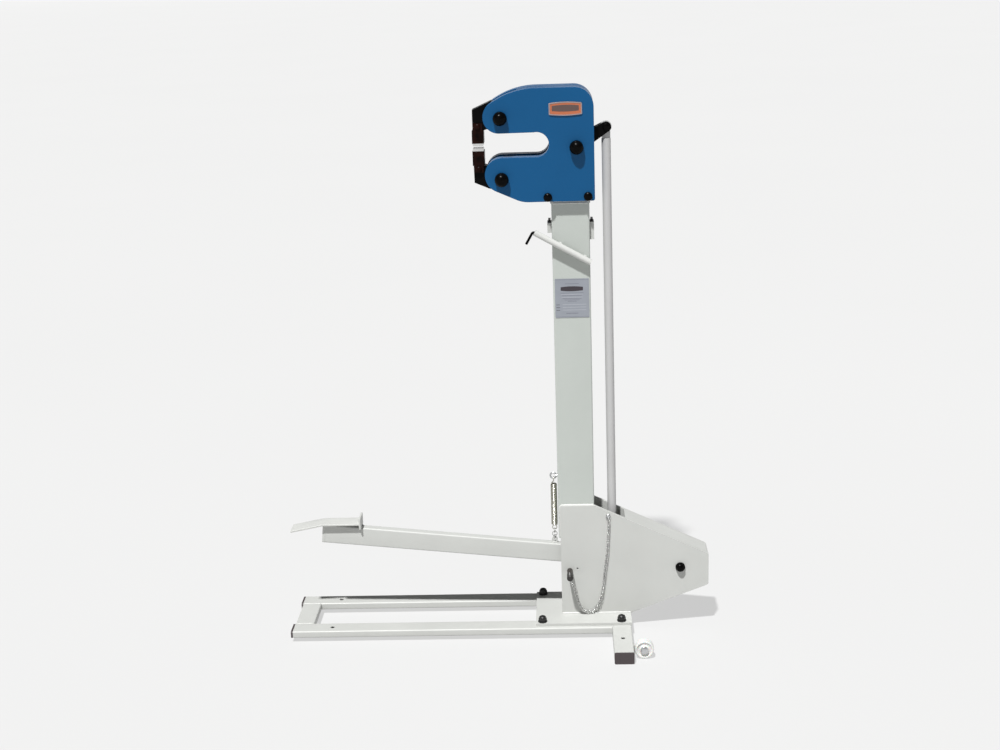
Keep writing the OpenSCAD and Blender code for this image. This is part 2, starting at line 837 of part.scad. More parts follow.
module head_mount_bolts() {
    color("#111111") at_column() for (b = mount_bolts) {
        facing_near(b[0], -cheek_outer_y, b[1]) domed_head(8.5, 8);
        bore_y(b[0], b[1], bolt_r, cheek_outer_y + 1);
        facing_far(b[0], cheek_outer_y, b[1]) cylinder(r = 9.8, h = 8, $fn = 6);
    }
}

module pivot_bolts() {
    cap_r = 13.5;
    cap_h = 19;
    color("#101010") at_column() for (p = [upper_pivot, lower_pivot, lever_pivot]) {
        facing_near(p[0], -cheek_outer_y, p[1]) domed_head(cap_r, cap_h);
        facing_far(p[0], cheek_outer_y, p[1]) domed_head(cap_r, cap_h);
        bore_y(p[0], p[1], pivot_r, cheek_outer_y + 1);
    }
}

// Blank badge with bowed long edges
module badge() {
    w = 64;
    h = 27;
    bow_r = 220;
    color("#b7876c") at_column() translate([-6, 0, 1090.5]) along_y(-cheek_outer_y - 2, -cheek_outer_y)
        intersection() {
            square([w, h], center = true);
            translate([0, h / 2 - bow_r]) circle(bow_r, $fn = 180);
            translate([0, bow_r - h / 2]) circle(bow_r, $fn = 180);
        }
}

// Position of a follower's centre from the lever's pivot when the lever has turned by a, and the arm in step with it
function follower_at(a, side) =
    let (turn = a * jaw_turn / lever_turn, from = lever_pivot + roller_start - upper_pivot, p = rot2(from, turn))
    [upper_pivot[0] + p[0] - lever_pivot[0], side * (upper_pivot[1] + p[1] - lever_pivot[1])];
function pitch_point(a, side) = rot2(follower_at(a, side), a);
// The cam's face stands off the follower centre's path by the roller's radius and a running gap
function cam_point(a, side) =
    let (p = pitch_point(a, side), d = unit(pitch_point(a + 0.1, side) - pitch_point(a - 0.1, side)),
        n = [-d[1], d[0]])
    p - (roller_r + cam_gap) * n * (n * p > 0 ? 1 : -1);

// Tapered bar between two circles, the first at the origin and the second at distance d along +X
module tapered_bar(r1, r2, d) {
    g = acos((r1 - r2) / d);
    circle(r1);
    translate([d, 0]) circle(r2);
    polygon([
        r1 * [cos(g), sin(g)], r1 * [cos(g), -sin(g)], [d, 0] + r2 * [cos(g), -sin(g)], [d, 0] + r2 * [cos(g), sin(g)]
    ]);
}

module actuating_lever() {
    reach = lever_end - lever_pivot;
    lift = atan2(reach[1], reach[0]);
    cam_lead = 8;
    color("#121212") translate([column_x + lever_pivot[0], 0, lever_pivot[1]]) difference() {
        along_y(-lever_half_t, lever_half_t) {
            rotate(lift) tapered_bar(15.5, 10, norm(reach));
            for (side = [-1, 1])
                polygon(concat([[0, 0]], [for (a = [-cam_lead:1:lever_turn + cam_lead]) cam_point(a, side)]));
        }
        bore_y(0, 0, pivot_r + running_gap);
        bore_y(reach[0], reach[1], rod_pin_r);
        along_y(-rod_eye_half - slide_gap, rod_eye_half + slide_gap) translate(reach) rotate(lift)
            translate([-20, -30]) square([50, 60]);
    }
}

// Outline of a jaw arm for the upper side; nose holds the points of its front end
module jaw_arm_outline(nose) {
    pin = lever_pivot + roller_start;
    translate(upper_pivot) circle(22);
    translate(pin) circle(roller_r - 1);
    polygon(concat(
        [[jaw_front_x + 1.5, jaw_joint_z]], nose,
        [[-125, 1103], [-100, 1100], [-60, 1086], [0, 1083], [24, 1078], [27, 1062], pin + [7, 0], pin + [-7, 0],
            [0, 1057], [-20, 1063], [-110, 1057], [-132, 1060], [jaw_rear_x, jaw_joint_z]]
    ));
}

module jaw_arm(nose) {
    pin = lever_pivot + roller_start;
    difference() {
        along_y(-arm_half_t, arm_half_t) jaw_arm_outline(nose);
        bore_y(upper_pivot[0], upper_pivot[1], pivot_r + running_gap);
        bore_y((jaw_front_x + jaw_rear_x) / 2, jaw_joint_z + 7.5, 3.1);
        translate([pin[0] - 9.5, -roller_half_w - slide_gap, pin[1] - 12]) cube([19, 2 * (roller_half_w + slide_gap), 22]);
        translate([arm_spring_x, 0, jaw_joint_z]) cylinder(r = arm_spring_r + slide_gap, h = 24);
    }
    bore_y(pin[0], pin[1], roller_pin_r, arm_half_t);
}

// Mirrors the upper side's shapes to the lower side
module lower_side() {
    translate([0, 0, 2 * mirror_z]) mirror([0, 0, 1]) children();
}

module upper_jaw_arm() {
    color("#131313") at_column() jaw_arm([[jaw_front_x + 1.5, 1090], [-151, 1106]]);
}

module lower_jaw_arm() {
    color("#131313") at_column() lower_side() jaw_arm([[-187, 1084], [-159, 1096]]);
}

// Jaw block for the upper side: body, two ears beside the arm, and a slot for the grips' tongues
module jaw_block(face_z) {
    mid_x = (jaw_front_x + jaw_rear_x) / 2;
    difference() {
        union() {
            translate([jaw_front_x, -jaw_half_w, face_z]) cube([jaw_rear_x - jaw_front_x, 2 * jaw_half_w, jaw_joint_z - face_z]);
            for (side = [-1, 1])
                translate([jaw_front_x + 2, side > 0 ? arm_half_t : -jaw_half_w, jaw_joint_z - 1])
                    cube([jaw_rear_x - jaw_front_x - 4, jaw_half_w - arm_half_t, 15]);
        }
        translate([mid_x - grip_slot_w / 2, -grip_slot_half, face_z - 1]) cube([grip_slot_w, 2 * grip_slot_half, grip_slot_h + 1]);
        bore_y(mid_x, jaw_joint_z + 7.5, 3.1);
    }
    bore_y(mid_x, jaw_joint_z + 7.5, 3, jaw_half_w + 0.5);
    facing_near(mid_x, -jaw_half_w, jaw_joint_z + 7.5) domed_head(5.5, 4);
    facing_far(mid_x, jaw_half_w, jaw_joint_z + 7.5) domed_head(5.5, 4);
}

upper_face_z = jaw_mid_z + jaw_gap / 2 + grip_t;
lower_face_z = 2 * mirror_z - (jaw_mid_z - jaw_gap / 2 - grip_t);

module upper_jaw_block() {
    color("#24100e") at_column() jaw_block(upper_face_z);
}

module lower_jaw_block() {
    color("#24100e") at_column() lower_side() jaw_block(lower_face_z);
}

// One of the two serrated plates side by side across a jaw, with a tongue in the block's slot
module grip(face_z, side) {
    mid_x = (jaw_front_x + jaw_rear_x) / 2;
    clear = 0.05;
    y0 = side > 0 ? slide_gap : -slide_gap - grip_w;
    tongue_y0 = side > 0 ? slide_gap : -slide_gap - grip_w + tongue_inset;
    translate([jaw_front_x + 1, y0, face_z - grip_t]) cube([jaw_rear_x - jaw_front_x - 2, grip_w, grip_t - clear]);
    translate([mid_x - grip_slot_w / 2 + 0.2, tongue_y0, face_z - 1])
        cube([grip_slot_w - 0.4, grip_w - tongue_inset, grip_slot_h + 1 - slide_gap]);
}

module upper_grip_near() {
    color("#c8c8c8") at_column() grip(upper_face_z, -1);
}

module upper_grip_far() {
    color("#c8c8c8") at_column() grip(upper_face_z, 1);
}

module lower_grip_near() {
    color("#c8c8c8") at_column() lower_side() grip(lower_face_z, -1);
}

module lower_grip_far() {
    color("#c8c8c8") at_column() lower_side() grip(lower_face_z, 1);
}

module roller() {
    p = lever_pivot + roller_start;
    difference() {
        bore_y(p[0], p[1], roller_r, roller_half_w);
        bore_y(p[0], p[1], roller_pin_r + running_gap);
    }
}

module upper_roller() {
    color("silver") at_column() roller();
}

module lower_roller() {
    color("silver") at_column() lower_side() roller();
}

module jaw_arm_spring() {
    color("#333333") at_column() translate([arm_spring_x, 0, mirror_z - arm_spring_half]) difference() {
        cylinder(r = arm_spring_r, h = 2 * arm_spring_half);
        translate([0, 0, -1]) cylinder(r = arm_spring_r - 1.2, h = 2 * arm_spring_half + 2);
    }
}

rail_near();
rail_far();
front_crossbar();
rear_crossbar();
tube_end_caps();
front_foot_pads();
base_plate();
base_bolts();
base_weld_nuts();
wheel_brackets();
wheel_axles();
wheel_near();
wheel_far();
side_plate_near();
side_plate_far();
housing_cover();
column();
column_top_plate();
pedal_pivot_bolt();
pedal_pivot_spacers();
pedal_pivot_bush();
lock_pin();
pin_chain();
chain_screw();
pedal_arm();
arm_end_cap();
pedal_tread();
spring_chain();
return_spring();
spring_eye_bolt();
rod_lower_pin();
pull_rod();
rod_upper_eye();
rod_lower_fork();
rod_locknut();
rod_upper_pin();
key_holder();
hex_key();
data_plate();
grip_pockets();
spare_grip_front();
spare_grip_rear();
cheek_near();
cheek_far();
head_spine();
head_mount_bolts();
pivot_bolts();
badge();
upper_jaw_arm();
lower_jaw_arm();
upper_jaw_block();
lower_jaw_block();
upper_grip_near();
upper_grip_far();
lower_grip_near();
lower_grip_far();
upper_roller();
lower_roller();
actuating_lever();
jaw_arm_spring();
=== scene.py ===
"""Foot-operated metal shrinker and stretcher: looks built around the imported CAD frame."""

import json
import math

import bmesh
import bpy
from mathutils import Matrix, Vector


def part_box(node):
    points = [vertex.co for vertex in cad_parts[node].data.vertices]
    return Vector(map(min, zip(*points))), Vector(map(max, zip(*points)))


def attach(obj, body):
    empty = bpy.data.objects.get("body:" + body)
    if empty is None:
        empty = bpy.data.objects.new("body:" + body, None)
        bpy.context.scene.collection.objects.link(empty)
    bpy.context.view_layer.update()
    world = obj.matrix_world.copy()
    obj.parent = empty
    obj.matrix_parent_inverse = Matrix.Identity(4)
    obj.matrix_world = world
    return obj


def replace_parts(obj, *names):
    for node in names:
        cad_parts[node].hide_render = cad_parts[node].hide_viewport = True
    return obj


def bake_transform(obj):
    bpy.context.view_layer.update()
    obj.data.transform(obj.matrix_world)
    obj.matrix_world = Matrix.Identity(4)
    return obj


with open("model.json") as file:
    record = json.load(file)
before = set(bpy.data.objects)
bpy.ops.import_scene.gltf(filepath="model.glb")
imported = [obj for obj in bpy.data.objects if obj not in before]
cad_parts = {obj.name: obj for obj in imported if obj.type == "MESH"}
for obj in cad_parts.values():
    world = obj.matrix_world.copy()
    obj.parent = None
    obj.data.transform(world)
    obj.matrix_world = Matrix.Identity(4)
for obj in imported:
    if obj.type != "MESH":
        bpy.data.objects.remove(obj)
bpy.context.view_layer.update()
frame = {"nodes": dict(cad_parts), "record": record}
BODY_OF = {n: b for b, members in frame["record"]["behaviour"]["bodies"].items() for n in members}
SLOT_OF = {s["node"]: s["material_slot"] for s in frame["record"]["subparts"]}
MM = 0.001


def mm(*values):
    """A place given in millimetres, in metres."""
    return Vector(v * MM for v in values)


def box_m(node):
    """The two corners of a CAD node's box, in metres."""
    return tuple(Vector(p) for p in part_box(node))


def box_mm(node):
    """The two corners of a CAD node's box, in millimetres."""
    return tuple(Vector(p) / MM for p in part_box(node))


# ---------------------------------------------------------------- materials

def new_material(name, color, rough, metal=0.0, coat=0.0, specular=0.5):
    """A material whose Principled shader has these constant values."""
    mat = bpy.data.materials.new(name)
    mat.use_nodes = True
    shader = mat.node_tree.nodes["Principled BSDF"]
    shader.inputs["Base Color"].default_value = (*color, 1.0)
    shader.inputs["Roughness"].default_value = rough
    shader.inputs["Metallic"].default_value = metal
    shader.inputs["Coat Weight"].default_value = coat
    shader.inputs["Coat Roughness"].default_value = 0.12
    shader.inputs["Specular IOR Level"].default_value = specular
    return mat


def add(mat, kind, **inputs):
    """A new shader node with constant values on the named inputs."""
    node = mat.node_tree.nodes.new(kind)
    for key, value in inputs.items():
        node.inputs[key].default_value = value
    return node


def wire(mat, out, into):
    mat.node_tree.links.new(out, into)


def place_of(mat):
    """The object's own coordinates."""
    return add(mat, "ShaderNodeTexCoord").outputs["Object"]


def noise(mat, where, scale, detail=3.0, rough=0.55, stretch=None):
    """Noise at the object's own coordinates; stretch scales each axis first."""
    if stretch:
        mapping = add(mat, "ShaderNodeMapping", Scale=stretch)
        wire(mat, where, mapping.inputs["Vector"])
        where = mapping.outputs["Vector"]
    node = add(mat, "ShaderNodeTexNoise", Scale=scale, Detail=detail, Roughness=rough)
    wire(mat, where, node.inputs["Vector"])
    return node.outputs["Fac"]


def ramp(mat, value, stops):
    """Colours along a value; stops are (position, colour)."""
    node = add(mat, "ShaderNodeValToRGB")
    elements = node.color_ramp.elements
    while len(elements) < len(stops):
        elements.new(0.5)
    for element, (position, color) in zip(elements, stops):
        element.position = position
        element.color = (*color, 1.0)
    wire(mat, value, node.inputs["Fac"])
    return node.outputs["Color"]


def grey(value):
    return (value, value, value)


def remap(mat, value, low, high, to_low, to_high):
    """A value carried from one range to another."""
    limits = {"From Min": low, "From Max": high, "To Min": to_low, "To Max": to_high}
    node = add(mat, "ShaderNodeMapRange", **limits)
    wire(mat, value, node.inputs["Value"])
    return node.outputs["Result"]


def blend_colors(mat, factor, a, b):
    """A mix of two colours, each a colour or a socket, by a factor's socket."""
    node = mat.node_tree.nodes.new("ShaderNodeMix")
    node.data_type = "RGBA"
    sockets = {s.identifier: s for s in node.inputs}
    for key, value in (("Factor_Float", factor), ("A_Color", a), ("B_Color", b)):
        if isinstance(value, bpy.types.NodeSocket):
            wire(mat, value, sockets[key])
        else:
            sockets[key].default_value = (*value, 1.0)
    return next(s for s in node.outputs if s.identifier == "Result_Color")


def bump(mat, height, distance, strength):
    """A normal that follows a height's fine relief."""
    node = add(mat, "ShaderNodeBump", Strength=strength, Distance=distance)
    wire(mat, height, node.inputs["Height"])
    return node.outputs["Normal"]


def principled(mat):
    """The inputs of a material's Principled shader."""
    return mat.node_tree.nodes["Principled BSDF"].inputs


def shade(color, factor):
    """A colour made lighter or darker."""
    return tuple(min(1.0, c * factor) for c in color)


DUST_HEIGHT = 0.09
DUST_COLOR = (0.30, 0.29, 0.27)


def powder_coat(name, color, rough, grain=1.0, coat=0.0, grime=0.25, specular=0.5):
    """Paint with orange peel, faint cloudiness, dust that gathers near the floor, and small chips."""
    mat = new_material(name, color, rough, coat=coat, specular=specular)
    where = place_of(mat)
    cloud = noise(mat, where, 9.0, 4.0)
    tone = ramp(mat, cloud, [(0.3, shade(color, 0.965)), (0.7, shade(color, 1.025))])
    separate = add(mat, "ShaderNodeSeparateXYZ")
    wire(mat, where, separate.inputs["Vector"])
    low = remap(mat, separate.outputs["Z"], 0.0, DUST_HEIGHT, grime, 0.0)
    streaks = noise(mat, where, 60.0, 5.0, 0.7)
    dusty = add(mat, "ShaderNodeMath")
    dusty.operation = "MULTIPLY"
    wire(mat, low, dusty.inputs[0])
    wire(mat, streaks, dusty.inputs[1])
    tone = blend_colors(mat, dusty.outputs["Value"], tone, DUST_COLOR)
    chips = ramp(mat, noise(mat, where, 190.0, 6.0, 0.75), [(0.205, grey(1.0)), (0.22, grey(0.0))])
    tone = blend_colors(mat, chips, tone, shade(color, 0.7))
    wire(mat, tone, principled(mat)["Base Color"])
    smear = remap(mat, noise(mat, where, 22.0, 5.0), 0.3, 0.7, rough - 0.05, rough + 0.07)
    wire(mat, smear, principled(mat)["Roughness"])
    peel = noise(mat, where, 420.0, 2.0)
    wire(mat, bump(mat, peel, 0.00006 * grain, 0.6), principled(mat)["Normal"])
    return mat


def worn_paint(name, color, rough, bare):
    """Powder coat rubbed through in patches, for the tread that shoes scuff."""
    mat = powder_coat(name, color, rough)
    where = place_of(mat)
    rub = noise(mat, where, 26.0, 6.0, 0.65, stretch=(0.5, 1.6, 1.0))
    fine = noise(mat, where, 300.0, 4.0, 0.7, stretch=(0.25, 1.5, 1.0))
    mask = add(mat, "ShaderNodeMath")
    mask.operation = "MULTIPLY"
    wire(mat, ramp(mat, rub, [(0.56, grey(0.0)), (0.68, grey(0.8))]), mask.inputs[0])
    wire(mat, ramp(mat, fine, [(0.42, grey(0.0)), (0.6, grey(1.0))]), mask.inputs[1])
    base = principled(mat)["Base Color"]
    before = base.links[0].from_socket
    wire(mat, blend_colors(mat, mask.outputs["Value"], before, bare), base)
    return mat


def black_finish(name, color, rough, spread, grain=1.0, tint=None, specular=0.05):
    """Black paint, oxide or moulded plastic: uneven sheen, fine grain, light dust."""
    mat = new_material(name, color, rough, specular=specular)
    where = place_of(mat)
    stops = [(0.35, color), (0.75, tint or shade(color, 1.7))]
    wire(mat, ramp(mat, noise(mat, where, 45.0, 5.0, 0.6), stops), principled(mat)["Base Color"])
    sheen = remap(mat, noise(mat, where, 120.0, 4.0), 0.3, 0.7, rough - spread, rough + spread)
    wire(mat, sheen, principled(mat)["Roughness"])
    relief = bump(mat, noise(mat, where, 900.0, 2.0), 0.00004 * grain, 0.5)
    wire(mat, relief, principled(mat)["Normal"])
    return mat


def bright_metal(name, color, rough, stretch=(1.0, 1.0, 1.0), scale=220.0, stain=0.12):
    """Plated or ground metal: drawn-out grain in its roughness and bump, and faint staining."""
    mat = new_material(name, color, rough, metal=1.0)
    where = place_of(mat)
    stained = ramp(mat, noise(mat, where, 35.0, 5.0), [(0.3, shade(color, 1 - stain)), (0.65, color)])
    wire(mat, stained, principled(mat)["Base Color"])
    lines = noise(mat, where, scale, 4.0, 0.6, stretch)
    wire(mat, remap(mat, lines, 0.3, 0.7, rough - 0.08, rough + 0.12), principled(mat)["Roughness"])
    wire(mat, bump(mat, lines, 0.00003, 0.5), principled(mat)["Normal"])
    return mat


def moulded(name, color, rough, depth=0.00003, subsurface=0.0):
    """Plastic, rubber or printed film: faint tone, uneven sheen, fine grain."""
    mat = new_material(name, color, rough)
    where = place_of(mat)
    tone = ramp(mat, noise(mat, where, 30.0, 4.0), [(0.3, shade(color, 0.93)), (0.7, color)])
    wire(mat, tone, principled(mat)["Base Color"])
    principled(mat)["Subsurface Weight"].default_value = subsurface
    principled(mat)["Subsurface Scale"].default_value = 0.002
    sheen = remap(mat, noise(mat, where, 90.0), 0.3, 0.7, rough - 0.05, rough + 0.06)
    wire(mat, sheen, principled(mat)["Roughness"])
    wire(mat, bump(mat, noise(mat, where, 700.0, 2.0), depth, 0.5), principled(mat)["Normal"])
    return mat


FRAME_GREY = (0.475, 0.482, 0.462)
ENAMEL = {"coat": 0.03, "grime": 0.0, "specular": 0.15}
BADGE = {"grain": 0.3, "coat": 0.2, "grime": 0.0}
JAW_TINT = (0.022, 0.006, 0.004)

MATS = {
    "frame_paint": powder_coat("grey_powder_coat", FRAME_GREY, 0.42),
    "column_paint": powder_coat("column_powder_coat", (0.425, 0.452, 0.425), 0.40),
    "pedal_paint": powder_coat("pedal_powder_coat", FRAME_GREY, 0.42),
    "tread": worn_paint("tread_worn_coat", (0.49, 0.495, 0.475), 0.45, bare=(0.34, 0.34, 0.33)),
    "blue_paint": powder_coat("blue_enamel", (0.004, 0.072, 0.190), 0.34, grain=0.6, **ENAMEL),
    "blue_filler": powder_coat("blue_enamel_cast", (0.004, 0.060, 0.160), 0.38, grain=1.6, **ENAMEL),
    "black_oxide": black_finish("black_oxide_steel", (0.0016, 0.0015, 0.0015), 0.24, 0.07),
    "black_paint": black_finish("black_satin_paint", (0.0016, 0.0015, 0.0016), 0.32, 0.08, grain=1.8),
    "jaw_oxide": black_finish("jaw_hardened_steel", (0.0030, 0.0014, 0.0012), 0.36, 0.08, tint=JAW_TINT),
    "cap_plastic": moulded("black_cap_plastic", (0.050, 0.038, 0.040), 0.45),
    "knob_plastic": moulded("knob_plastic", (0.020, 0.018, 0.016), 0.40),
    "foot_rubber": moulded("foot_rubber", (0.012, 0.012, 0.012), 0.7, 0.00008),
    "wheel_nylon": moulded("white_nylon", (0.66, 0.66, 0.635), 0.38, subsurface=0.15),
    "zinc": bright_metal("zinc_plate", (0.62, 0.63, 0.64), 0.30),
    "chain_zinc": bright_metal("chain_nickel", (0.66, 0.66, 0.65), 0.24),
    "spring_steel": bright_metal("spring_wire", (0.62, 0.61, 0.54), 0.24),
    "rod_paint": powder_coat("rod_powder_coat", (0.440, 0.440, 0.438), 0.40),
    "key_tube_paint": powder_coat("key_tube_coat", (0.54, 0.545, 0.525), 0.40, grime=0.0),
    "bronze": bright_metal("oiled_bronze", (0.50, 0.32, 0.13), 0.33),
    "ground_steel": bright_metal("ground_tool_steel", (0.70, 0.70, 0.69), 0.22, (0.3, 6.0, 1.0), 400.0),
    "pin_steel": bright_metal("dark_pin_steel", (0.10, 0.085, 0.075), 0.34),
    "dark_steel": black_finish("black_tool_steel", (0.003, 0.003, 0.003), 0.35, 0.08, specular=0.2),
    "label_film": moulded("label_film", (0.255, 0.272, 0.305), 0.35, 0.00001),
    "label_dark": moulded("label_dark_ink", (0.035, 0.028, 0.035), 0.4, 0.00001),
    "label_mid": moulded("label_mid_ink", (0.165, 0.170, 0.205), 0.4, 0.00001),
    "label_pale": moulded("label_pale_ink", (0.345, 0.36, 0.40), 0.4, 0.00001),
    "badge_metal": bright_metal("badge_rim", (0.50, 0.40, 0.40), 0.34),
    "badge_copper": powder_coat("badge_copper", (0.42, 0.115, 0.045), 0.32, **BADGE),
    "badge_dark": powder_coat("badge_dark", (0.085, 0.050, 0.045), 0.32, **BADGE),
    # The weld beads wear the frame's grey coat, made lighter here as a painted highlight where the beads
    # face the sun
    "weld_paint": powder_coat("weld_bead_coat_painted_highlight", (0.52, 0.527, 0.507), 0.36, grain=1.5),
}


# ---------------------------------------------------------------- mesh helpers

def make_object(name, mesh, material, body, smooth=35.0):
    """A visible piece; it rides on its body, or on none when no body is given."""
    for polygon in mesh.polygons:
        polygon.use_smooth = True
    mesh.set_sharp_from_angle(angle=math.radians(smooth))
    mesh.materials.clear()
    mesh.materials.append(MATS[material])
    obj = bpy.data.objects.new(name, mesh)
    bpy.context.scene.collection.objects.link(obj)
    if body:
        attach(obj, body)
    return obj


def from_bmesh(name, bm):
    """A mesh from a bmesh, with its normals outward; frees the bmesh."""
    mesh = bpy.data.meshes.new(name)
    bmesh.ops.recalc_face_normals(bm, faces=bm.faces[:])
    bm.to_mesh(mesh)
    bm.free()
    return mesh


def finished_node(node, width, material=None):
    """A copy of a CAD node's mesh with its edges rounded to width millimetres, shown in its place."""
    bm = bmesh.new()
    bm.from_mesh(frame["nodes"][node].data)
    bmesh.ops.remove_doubles(bm, verts=bm.verts[:], dist=0.00001)
    bmesh.ops.dissolve_limit(bm, angle_limit=math.radians(0.6), verts=bm.verts[:], edges=bm.edges[:])
    mesh = from_bmesh(node + "_finished", bm)
    slot = SLOT_OF[node]
    obj = make_object(node + "_finished", mesh, material or slot, BODY_OF[node])
    bevel = obj.modifiers.new("rounded_edges", "BEVEL")
    bevel.width = width * MM
    bevel.segments = 3
    bevel.limit_method = "ANGLE"
    bevel.angle_limit = math.radians(32)
    bevel.use_clamp_overlap = True
    bevel.harden_normals = True
    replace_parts(obj, node)


def around(axis):
    """An axis as a unit vector, with two more square to it."""
    axis = Vector(axis).normalized()
    side = axis.cross(Vector((1, 0, 0)) if abs(axis.x) < 0.9 else Vector((0, 0, 1))).normalized()
    return axis, side, axis.cross(side)


def lathe_rings(profile, origin, axis, steps):
    """Points of a profile of (radius, distance along axis) turned about an axis."""
    axis, side, other = around(axis)
    rings = []
    for radius, along in profile:
        ring = []
        for i in range(steps):
            a = 2 * math.pi * i / steps
            turned = (side * math.cos(a) + other * math.sin(a)) * radius
            ring.append(Vector(origin) + axis * along + turned)
        rings.append(ring)
    return rings


def add_grid(bm, rings, closed_ends=(True, True), loop=False):
    """Joins rings of points with quads, and caps the two ends."""
    rows = [[bm.verts.new(p) for p in ring] for ring in rings]
    count = len(rows[0])
    pairs = list(zip(rows, rows[1:])) + ([(rows[-1], rows[0])] if loop else [])
    for a, b in pairs:
        for i in range(count):
            j = (i + 1) % count
            bm.faces.new((a[i], a[j], b[j], b[i]))
    if not loop:
        if closed_ends[0]:
            bm.faces.new(reversed(rows[0]))
        if closed_ends[1]:
            bm.faces.new(rows[-1])


def add_lathe(bm, profile, origin, axis, steps):
    """A closed turned shape; a profile that starts or ends near the axis is capped there."""
    add_grid(bm, lathe_rings(profile, origin, axis, steps))


def sweep_rings(path, radii, sides, closed, phase):
    """Rings of points around a path, carried along without twisting."""
    path = [Vector(p) for p in path]
    n = len(path)
    rings = []
    normal = None
    for i, point in enumerate(path):
        before = path[(i - 1) % n] if closed else path[max(i - 1, 0)]
        after = path[(i + 1) % n] if closed else path[min(i + 1, n - 1)]
        tangent = (after - before).normalized()
        if normal is None:
            guide = Vector((0, 1, 0)) if abs(tangent.y) < 0.9 else Vector((1, 0, 0))
            normal = tangent.cross(guide).normalized()
        normal = (normal - tangent * normal.dot(tangent)).normalized()
        other = tangent.cross(normal)
        radius = radii[i] if isinstance(radii, (list, tuple)) else radii
        rings.append([
            point + (normal * math.cos(phase + 2 * math.pi * k / sides)
                     + other * math.sin(phase + 2 * math.pi * k / sides)) * radius
            for k in range(sides)
        ])
    return rings


def add_sweep(bm, path, radii, sides, closed=False, phase=0.0):
    """A round or sided bar along a path; radii is one radius or one for each point."""
    rings = sweep_rings(path, radii, sides, closed, phase)
    add_grid(bm, rings, loop=closed)


def bezier_points(points, steps):
    """Points along a Catmull-Rom curve through a list of points."""
    points = [Vector(p) for p in points]
    last = len(points) - 1
    out = []
    for k in range(last):
        a, b, c, d = points[max(k - 1, 0)], points[k], points[k + 1], points[min(k + 2, last)]
        for s in range(steps):
            t = s / steps
            out.append(0.5 * (2 * b + (c - a) * t + (2 * a - 5 * b + 4 * c - d) * t * t
                              + (3 * b - a - 3 * c + d) * t ** 3))
    return out + [points[-1]]


def even_points(points, pitch):
    """The same path with points one pitch apart."""
    out = [points[0]]
    left = pitch
    for a, b in zip(points, points[1:]):
        span = (b - a).length
        done = 0.0
        while span - done >= left:
            done += left
            out.append(a + (b - a) * (done / span))
            left = pitch
        left -= span - done
    return out


# ---------------------------------------------------------------- camera, light, floor

CAMERA_TURN = (-2.581, 15.914, -1.925)
CAMERA_PLACE = (0.1485, -2.9697, 1.3976)
CAMERA_LENS = 54.35
SUN_DIRECTION = (0.16, 0.43, -0.89)
SUN_STRENGTH = 5.2
SUN_ANGLE = 2.5
SOFTBOXES = (("softbox_front", (-1.6, -2.6, 2.4), 1.6, 4), ("softbox_back", (1.8, 2.2, 2.6), 1.8, 3))
SOFTBOX_AIM = (0, 0, 0.6)
SKY_COLOR = (0.97, 0.985, 1.0, 1)
SKY_STRENGTH = 0.10
FLOOR_HALF = 60.0
WALL_HEIGHT = 14.0
FLOOR_GLOW = 0.565


def make_camera():
    """The photograph's viewing angle: in front of the near side, a little above, slightly rolled."""
    yaw, pitch, roll = (math.radians(a) for a in CAMERA_TURN)
    level = math.cos(pitch)
    forward = Vector((math.sin(yaw) * level, math.cos(yaw) * level, -math.sin(pitch)))
    right = Vector((math.cos(yaw), -math.sin(yaw), 0))
    up = right.cross(forward)
    across = right * math.cos(roll) + up * math.sin(roll)
    upright = up * math.cos(roll) - right * math.sin(roll)
    data = bpy.data.cameras.new("camera")
    data.sensor_width = 36.0
    data.lens = CAMERA_LENS
    data.clip_start = 0.05
    data.clip_end = 200.0
    cam = bpy.data.objects.new("camera", data)
    bpy.context.scene.collection.objects.link(cam)
    cam.matrix_world = Matrix((
        (across.x, upright.x, -forward.x, CAMERA_PLACE[0]),
        (across.y, upright.y, -forward.y, CAMERA_PLACE[1]),
        (across.z, upright.z, -forward.z, CAMERA_PLACE[2]),
        (0, 0, 0, 1),
    ))
    bpy.context.scene.camera = cam


def aim(obj, direction):
    """Turns a lamp to shine in a direction."""
    obj.rotation_mode = "QUATERNION"
    obj.rotation_quaternion = Vector(direction).to_track_quat("-Z", "Y")
    bpy.context.scene.collection.objects.link(obj)


def make_light():
    """A sun from the upper front left with slightly soft shadows, two weak softboxes and a faint sky."""
    sun_data = bpy.data.lights.new("sun", "SUN")
    sun_data.energy = SUN_STRENGTH
    sun_data.angle = math.radians(SUN_ANGLE)
    aim(bpy.data.objects.new("sun", sun_data), SUN_DIRECTION)
    for name, spot, size, power in SOFTBOXES:
        data = bpy.data.lights.new(name, "AREA")
        data.size = size
        data.energy = power
        lamp = bpy.data.objects.new(name, data)
        lamp.location = spot
        aim(lamp, Vector(SOFTBOX_AIM) - Vector(spot))
    world = bpy.data.worlds.new("studio")
    bpy.context.scene.world = world
    world.use_nodes = True
    background = world.node_tree.nodes["Background"]
    background.inputs["Color"].default_value = SKY_COLOR
    background.inputs["Strength"].default_value = SKY_STRENGTH
    bpy.context.scene.view_settings.view_transform = "Standard"


